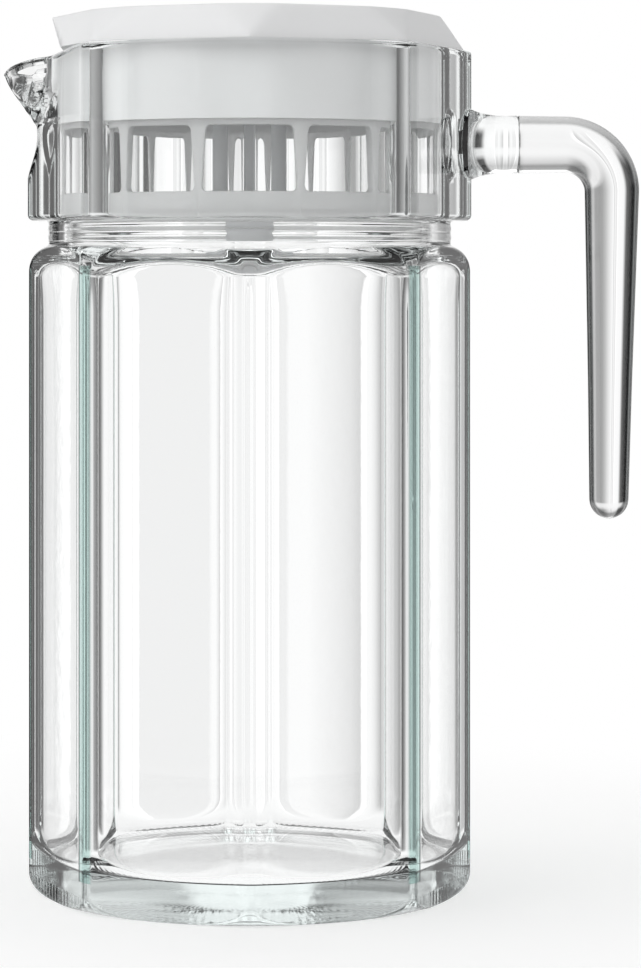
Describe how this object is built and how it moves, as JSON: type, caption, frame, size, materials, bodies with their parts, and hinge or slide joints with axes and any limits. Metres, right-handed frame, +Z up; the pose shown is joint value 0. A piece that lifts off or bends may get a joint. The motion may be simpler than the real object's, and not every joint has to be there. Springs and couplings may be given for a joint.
{
  "type": "glass pitcher with lid",
  "caption": "Tall flat-sided clear glass pitcher with a solid glass handle, a pouring spout and a white strainer lid.",
  "frame": {"origin": "centre of the round foot, on the surface that the pitcher stands on", "axes": "+Z up, +X from the spout to the handle, so the pitcher's mirror plane is XZ"},
  "size_m": [0.1613, 0.1126, 0.2211],
  "materials": {
    "clear_glass": "clear pressed soda-lime glass, fire-polished, faint green tint at the edges",
    "white_plastic": "opaque white moulded plastic, satin",
    "frosted_plastic": "milky moulded plastic that lets light through",
    "grey_plastic": "pale grey moulded plastic"
  },
  "bodies": {
    "jug": {"glass_jug": "clear_glass", "handle": "clear_glass"},
    "basket": {"strainer": "frosted_plastic", "pivot_pin": "grey_plastic"},
    "cap": {"lid_cap": "white_plastic", "plug_sleeve": "white_plastic"}
  },
  "joints": [
    {"name": "lid_lift", "type": "slide", "parent": "jug", "child": "basket", "axis": [0, 0, 1], "range_m": [0, 0.075]},
    {"name": "cap_turn", "type": "hinge", "parent": "basket", "child": "cap", "pos_m": [0, 0, 0.2125], "axis": [0, 0, 1], "continuous": true}
  ]
}
